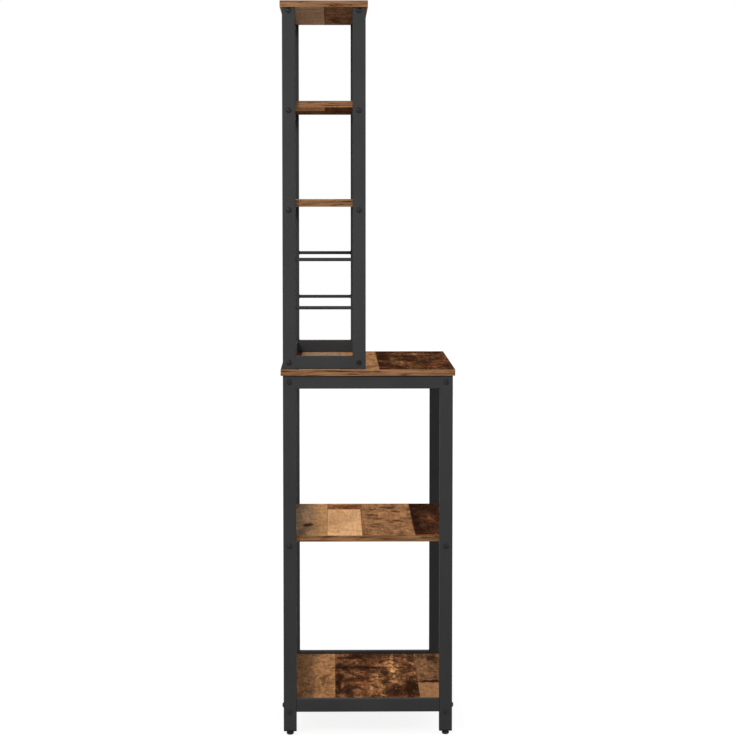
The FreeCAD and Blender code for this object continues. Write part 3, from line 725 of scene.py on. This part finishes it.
    run = sums(tree, "ADD", along, across)
    band = add_node(tree, "ShaderNodeCombineXYZ", {0: run, 1: height}).outputs[0]
    band_streak = figure(band, 7.0, 210.0, 4.0, 0.6, 0.3)
    band_grain = figure(band, 34.0, 900.0, 3.0, 0.6)
    band_flecks = figure(band, 18.0, 260.0, 4.0, 0.62, 0.3)
    band_paint = {name: paint(*tint) for name, tint in BAND_TINTS.items()}
    share = spread(tree, band_streak, 0.34, 0.66)
    edge = tinted(tree, share, band_paint["dark"], band_paint["pale"])
    share = spread(tree, band_grain, 0.5, 0.8, 0.0, 0.45)
    edge = tinted(tree, share, edge, band_paint["grain"])
    share = spread(tree, band_flecks, 0.55, 0.61, 0.0, 0.85, smooth=True)
    edge = tinted(tree, share, edge, band_paint["fleck"])
    upright = spread(tree, sums(tree, "ABSOLUTE", lean), 0.35, 0.75, 1.0, 0.0)
    colour = tinted(tree, upright, colour, edge)
    ease = sums(tree, "ABSOLUTE", sums(tree, "SUBTRACT", sums(tree, "ABSOLUTE", lean), 0.55))
    share = spread(tree, ease, 0.0, 0.35, 0.35, 0.0)
    colour = tinted(tree, share, colour, band_paint["eased edge"])

    grain_strength, grain_depth, sunk_share = 0.25, 0.12 * MM, 0.8
    tree.links.new(colour, shader.inputs["Base Color"])
    tree.links.new(spread(tree, grain, 0.3, 0.7, 0.92, 0.78), shader.inputs["Roughness"])
    sunk = sums(tree, "MULTIPLY", sums(tree, "MAXIMUM", flecks, joint), sunk_share)
    bump = add_node(tree, "ShaderNodeBump", {
        "Strength": grain_strength, "Distance": grain_depth,
        "Height": sums(tree, "SUBTRACT", grain, sunk)})
    tree.links.new(bump.outputs[0], shader.inputs["Normal"])
    shader.inputs["Specular IOR Level"].default_value = 0.0
    dress(material, board)


TOP, UNDERSIDE = 1, -1
plank_decor("bottom_shelf", TOP, [
    (-0.20, [(-0.30, "chestnut", 0.15), (-0.073, "walnut", 0.6)]),
    (-0.123, [(-0.30, "bistre", 0.9)]),
    (0.075, [(-0.30, "tan", 0.45)]),
], [
    (0.0, 0.2, 2.0, 0.088, "hazel", 1.0, True), (0.0, 0.22, 2.0, 0.11, "hazel", 0.8, True),
    (-0.06, -0.032, 0.22, 0.014, "tan", 0.85), (0.04, -0.071, 0.13, 0.016, "straw", 0.85),
    (-0.04, 0.005, 0.10, 0.02, "russet", 0.8), (0.16, -0.045, 0.10, 0.022, "chestnut", 0.7),
    (0.05, 0.05, 0.02, 0.05, "chestnut", 0.6), (0.10, 0.0, 0.014, 0.08, "charred", 0.85),
    (-0.165, 0.045, 0.09, 0.026, "charred", 0.8), (0.235, 0.024, 0.04, 0.016, "charred", 0.8),
    (-0.13, -0.103, 0.14, 0.016, "charred", 0.8), (0.205, -0.172, 0.06, 0.018, "charred", 0.7),
    (-0.05, 0.103, 0.06, 0.008, "charred", 0.6), (0.02, 0.068, 0.24, 0.009, "charred", 0.7),
    (-0.066, -0.165, 0.018, 0.06, "charred", 0.95), (0.0, -0.012, 0.2, 0.006, "straw", 0.6),
])
plank_decor("middle_shelf", TOP, [
    (-0.20, [(-0.30, "russet", 0.4), (-0.262, "cocoa", 0.7)]),
    (-0.111, [(-0.30, "chestnut", 0.5)]),
    (0.012, [(-0.30, "peach", 0.05), (0.168, "russet", 0.6), (0.243, "chestnut", 0.4)]),
    (0.094, [(-0.30, "straw", 0.2)]),
], [
    (0.0, 0.2, 2.0, 0.085, "olive", 1.0, True), (0.0, 0.22, 2.0, 0.095, "olive", 0.8, True),
    (0.05, 0.146, 0.12, 0.016, "taupe", 0.7),
    (0.03, -0.15, 0.09, 0.018, "russet", 0.5), (-0.05, 0.078, 0.3, 0.026, "straw", 0.4),
    (-0.106, 0.139, 0.034, 0.012, "charred", 0.95), (0.24, 0.176, 0.08, 0.02, "charred", 0.6),
    (0.128, -0.074, 0.016, 0.016, "charred", 0.8), (0.064, -0.013, 0.014, 0.02, "charred", 0.7),
    (0.20, -0.05, 0.014, 0.022, "charred", 0.7), (-0.06, -0.117, 0.24, 0.01, "charred", 0.8),
    (0.18, -0.17, 0.08, 0.02, "charred", 0.7),
])
plank_decor("worktop", TOP, [
    (-0.21, [(-0.30, "umber", 0.85)]),
    (-0.027, [(-0.30, "chestnut", 0.4)]),
    (0.062, [(-0.30, "straw", 0.1), (0.02, "taupe", 0.2)]),
    (0.158, [(-0.30, "umber", 0.6)]),
], [
    (0.21, -0.135, 0.06, 0.026, "chestnut", 0.8), (-0.05, -0.075, 0.12, 0.016, "chestnut", 0.7),
    (-0.20, -0.16, 0.07, 0.02, "russet", 0.7), (0.10, -0.045, 0.12, 0.018, "charred", 0.8),
    (-0.10, -0.13, 0.06, 0.024, "charred", 0.7), (0.24, -0.18, 0.06, 0.014, "charred", 0.7),
])


# -------------------------------------------------------------------
# Board screws. Zinc-plated pan-head wood screws with a cross recess go up through the bars
# and the top rails into the underside of each board.
# -------------------------------------------------------------------
def cross_shaped(tree, angle):
    """Outline of a four-winged driver recess."""
    wings, sharpness, core_share = 4.0, 3.0, 0.32
    wave = sums(tree, "COSINE", sums(tree, "MULTIPLY", angle, wings))
    wing = sums(tree, "POWER", sums(tree, "MULTIPLY_ADD", wave, 0.5, 0.5), sharpness)
    return sums(tree, "MULTIPLY_ADD", wing, 1 - core_share, core_share)


screw_zinc = metal_finish(
    "zinc_plated_screw", dark=(140, 142, 146), pale=(190, 192, 196), rough_low=0.28, rough_high=0.44,
    draw_factors=(700.0, 700.0, 700.0))
pan_screws = screw_tree("pan_screw", screw_zinc, cross_shaped, seed=11)
pan_sizes = {"Head diameter": 8 * MM, "Head height": 2.4 * MM, "Rim height": 0.9 * MM,
             "Crown diameter": 5.6 * MM, "Recess width": 4.6 * MM, "Recess depth": 1.4 * MM,
             "Shank diameter": 4 * MM, "Grip": 25 * MM}


def under_screws(members):
    """Where the wood screws of cross members sit on the tubes' undersides."""
    end_distance = 90 * MM
    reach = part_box("base_front_top_rail")[1].x - end_distance
    spots = [(way * reach, middle_of(member).y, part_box(member)[0].z)
             for member in members for way in SIDES.values()]
    return spots, [(0, 0, -1)] * len(spots)


shelf_bars = [f"{shelf}_{end}_bar" for end in ENDS for shelf in
              ("bottom_shelf", "middle_shelf", "hutch_lower_shelf", "hutch_upper_shelf", "top_shelf")]
keep(grow("shelf_pan_screws", point_mesh("shelf_screw_spots", *under_screws(shelf_bars)),
          pan_screws, pan_sizes), "frame", "zinc_steel", "shelf_screws")
top_rails = [f"base_{end}_top_rail" for end in ENDS]
keep(grow("worktop_pan_screws", point_mesh("worktop_screw_spots", *under_screws(top_rails)),
          pan_screws, {**pan_sizes, "Grip": 40 * MM}), "frame", "zinc_steel", "worktop_screws")


# -------------------------------------------------------------------
# Hutch side frames. Two posts of the same tube with a bottom rail and two 8 mm round rods
# welded between them; a push-in black plug closes the spare hole of each front post.
# -------------------------------------------------------------------
def rod_ring(rod, end):
    """Ring round a rod where it enters its post."""
    seat, proud, steps = 6 * MM, 0.2 * MM, 24
    low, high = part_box(rod)
    y = low.y + seat if end < 0 else high.y - seat
    reach = (high.z - low.z) / 2 + proud
    middle = (low + high) / 2
    turns = [2 * math.pi * step / steps for step in range(steps)]
    return [(middle.x + reach * math.cos(turn), y, middle.z + reach * math.sin(turn))
            for turn in turns], True


ground_weld("hutch_ground_welds", [f"hutch_{side}_bottom_rail" for side in SIDES])
hutch_runs = []
for side in SIDES:
    rail = f"hutch_{side}_bottom_rail"
    dress(powder_coat, rail)
    hutch_runs += [corner_run(rail, end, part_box(rail)[1].z) for end in ENDS.values()]
    for level in ("lower", "upper"):
        dress(powder_coat, f"hutch_{side}_{level}_rod")
        hutch_runs += [rod_ring(f"hutch_{side}_{level}_rod", end) for end in ENDS.values()]
    for end in ENDS:
        dress(powder_coat, f"hutch_{end}_{side}_post")
keep(grow("hutch_weld_beads", line_mesh("hutch_weld_lines", hutch_runs), weld_beads,
          {"Bead radius": 1.1 * MM, "Ripple pitch": 1.6 * MM, "Ripple share": 0.13}),
     "frame", "frame_coat")
dress(black_plastic, "hutch_hole_plugs")


# -------------------------------------------------------------------
# Hutch fixings. Button-head bolts inside the base side rails come up through the worktop
# into hexagon nuts held in the hutch's bottom rails, and tie the two halves together.
# -------------------------------------------------------------------
dress(screw_zinc, "hutch_tie_nuts")
tie_bolts = screw_tree("tie_bolt", screw_zinc, six_sided, seed=7)
tie_inset = 30 * MM
tie_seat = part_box("hutch_tie_bolts")[0].z + button_sizes["Head height"]
tie_spots = []
for side in SIDES:
    low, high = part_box(f"hutch_{side}_bottom_rail")
    for y in (low.y + tie_inset, high.y - tie_inset):
        tie_spots.append(((low.x + high.x) / 2, y, tie_seat))
tie_ways = [(0, 0, -1)] * len(tie_spots)
keep(grow("hutch_tie_button_bolts", point_mesh("tie_bolt_spots", tie_spots, tie_ways),
          tie_bolts, {**button_sizes, "Grip": 24 * MM}), "frame", "zinc_steel", "hutch_tie_bolts")


# -------------------------------------------------------------------
# Hutch cross members. A back rail low down and two 15 mm bars under each shelf join the
# hutch's side frames, with the same screws as the base.
# -------------------------------------------------------------------
hutch_shelves = ("hutch_lower_shelf", "hutch_upper_shelf", "top_shelf")
hutch_members = [f"{shelf}_{end}_bar" for shelf in hutch_shelves for end in ENDS]
hutch_members.append("hutch_back_bottom_rail")
dress(powder_coat, *hutch_members)
keep(grow("hutch_button_screws", point_mesh("hutch_screw_spots", *end_screws(hutch_members)),
          button_screws, button_sizes), "frame", "black_screw", "hutch_frame_screws")


# -------------------------------------------------------------------
# Hutch boards. Two shelves between the posts and a top board over them, in the same faced
# and edge-banded board as the base.
# -------------------------------------------------------------------
plank_decor("hutch_lower_shelf", TOP, [
    (0.00, [(-0.30, "chestnut", 0.4), (0.08, "umber", 0.6)]),
    (0.074, [(-0.30, "tan", 0.2)]),
    (0.150, [(-0.30, "olive", 0.4), (-0.11, "taupe", 0.3)]),
], [(-0.12, 0.108, 0.014, 0.005, "charred", 0.9), (0.15, 0.02, 0.06, 0.01, "charred", 0.6)])
plank_decor("hutch_upper_shelf", UNDERSIDE, [
    (0.00, [(-0.30, "umber", 0.6)]),
    (0.098, [(-0.30, "chestnut", 0.35), (-0.02, "umber", 0.5)]),
], [(0.06, 0.069, 0.12, 0.014, "charred", 0.6), (-0.11, 0.13, 0.1, 0.02, "chestnut", 0.5)])
plank_decor("top_shelf", UNDERSIDE, [
    (-0.01, [(-0.30, "walnut", 0.5)]),
    (0.0995, [(-0.30, "taupe", 0.2)]),
], [(0.10, 0.075, 0.12, 0.014, "charred", 0.6), (-0.21, 0.13, 0.012, 0.05, "umber", 0.7)])


# -------------------------------------------------------------------
# Studio. A wide pale floor, which stays under the lowest foot and keeps a soft shadow; white
# all round; a soft lamp high on the camera's left and a broader one on its right; a camera
# that looks at the left end.
# -------------------------------------------------------------------
scene = bpy.context.scene
scene.view_settings.view_transform = "Standard"


def seen_directly(tree):
    """1 for rays that show the surroundings: to the camera, by gloss or through glass."""
    path = add_node(tree, "ShaderNodeLightPath").outputs
    mirrored = sums(tree, "MAXIMUM", path["Is Glossy Ray"], path["Is Transmission Ray"])
    return sums(tree, "MAXIMUM", path["Is Camera Ray"], mirrored)


surround = bpy.data.worlds.new("white_surround")
scene.world = surround
surround.use_nodes = True
sky = surround.node_tree
WHITE = (1.0, 1.0, 1.0, 1.0)
soft = add_node(sky, "ShaderNodeBackground", {"Color": WHITE, "Strength": 0.72}).outputs[0]
white = add_node(sky, "ShaderNodeBackground", {"Color": WHITE, "Strength": 1.0}).outputs[0]
shown = add_node(sky, "ShaderNodeMixShader", {0: seen_directly(sky), 1: soft, 2: white}).outputs[0]
sky.links.new(shown, sky.nodes["World Output"].inputs["Surface"])

floor_mesh = bpy.data.meshes.new("studio_floor")
reach = 14.0
floor_corners = [(-reach, -reach, 0), (reach, -reach, 0), (reach, reach, 0), (-reach, reach, 0)]
floor_mesh.from_pydata(floor_corners, [], [(0, 1, 2, 3)])
studio_floor = bpy.data.objects.new("studio_floor", floor_mesh)
scene.collection.objects.link(studio_floor)
floor_paint = bpy.data.materials.new("pale_floor_paint")
floor_paint.use_nodes = True
tree = floor_paint.node_tree
matt = add_node(tree, "ShaderNodeBsdfDiffuse", {"Color": (0.8, 0.8, 0.8, 1.0)}).outputs[0]
pale = add_node(tree, "ShaderNodeBsdfDiffuse", {"Color": (0.22, 0.22, 0.22, 1.0)}).outputs[0]
glow = add_node(tree, "ShaderNodeEmission", {"Color": WHITE, "Strength": 0.88}).outputs[0]
bright = add_node(tree, "ShaderNodeAddShader", {0: pale, 1: glow}).outputs[0]
above = add_node(tree, "ShaderNodeMixShader", {0: seen_directly(tree), 1: matt, 2: bright}).outputs[0]
clear = add_node(tree, "ShaderNodeBsdfTransparent").outputs[0]
below_floor = add_node(tree, "ShaderNodeNewGeometry").outputs["Backfacing"]
finished = add_node(tree, "ShaderNodeMixShader", {0: below_floor, 1: above, 2: clear}).outputs[0]
tree.links.new(finished, tree.nodes["Material Output"].inputs["Surface"])
floor_mesh.materials.append(floor_paint)
for side in SIDES:
    for end in ENDS:
        under_pad = studio_floor.constraints.new("FLOOR")
        under_pad.target = frame["bodies"][f"{end}_{side}_pad"]
        under_pad.floor_location = "FLOOR_NEGATIVE_Z"


def soft_lamp(name, place, aim, size, watts, beam_degrees):
    """Square soft lamp turned towards a point, with its beam held to an angle."""
    lamp = bpy.data.lights.new(name, "AREA")
    lamp.shape, lamp.size, lamp.energy = "SQUARE", size, watts
    lamp.spread = math.radians(beam_degrees)
    holder = bpy.data.objects.new(name, lamp)
    holder.location = place
    holder.rotation_euler = (Vector(aim) - Vector(place)).to_track_quat("-Z", "Y").to_euler()
    scene.collection.objects.link(holder)


soft_lamp("key_lamp", place=(-3.6, 1.5, 2.9), aim=(0.0, 0.0, 1.05), size=0.9, watts=5.4,
          beam_degrees=40.0)
soft_lamp("fill_lamp", place=(-1.8, -3.0, 2.2), aim=(0.0, 0.0, 0.9), size=2.0, watts=8.0,
          beam_degrees=120.0)

lens = bpy.data.cameras.new("photo_camera")
lens.lens, lens.sensor_width, lens.clip_end = 115.63, 36.0, 60.0
photo_camera = bpy.data.objects.new("photo_camera", lens)
photo_camera.location = (-5.69235, 0.07971, 1.26435)
looks_along = Vector((0.996996, -0.014752, -0.076037))
photo_camera.rotation_mode = "QUATERNION"
photo_camera.rotation_quaternion = looks_along.to_track_quat("-Z", "Y")
scene.collection.objects.link(photo_camera)
scene.camera = photo_camera
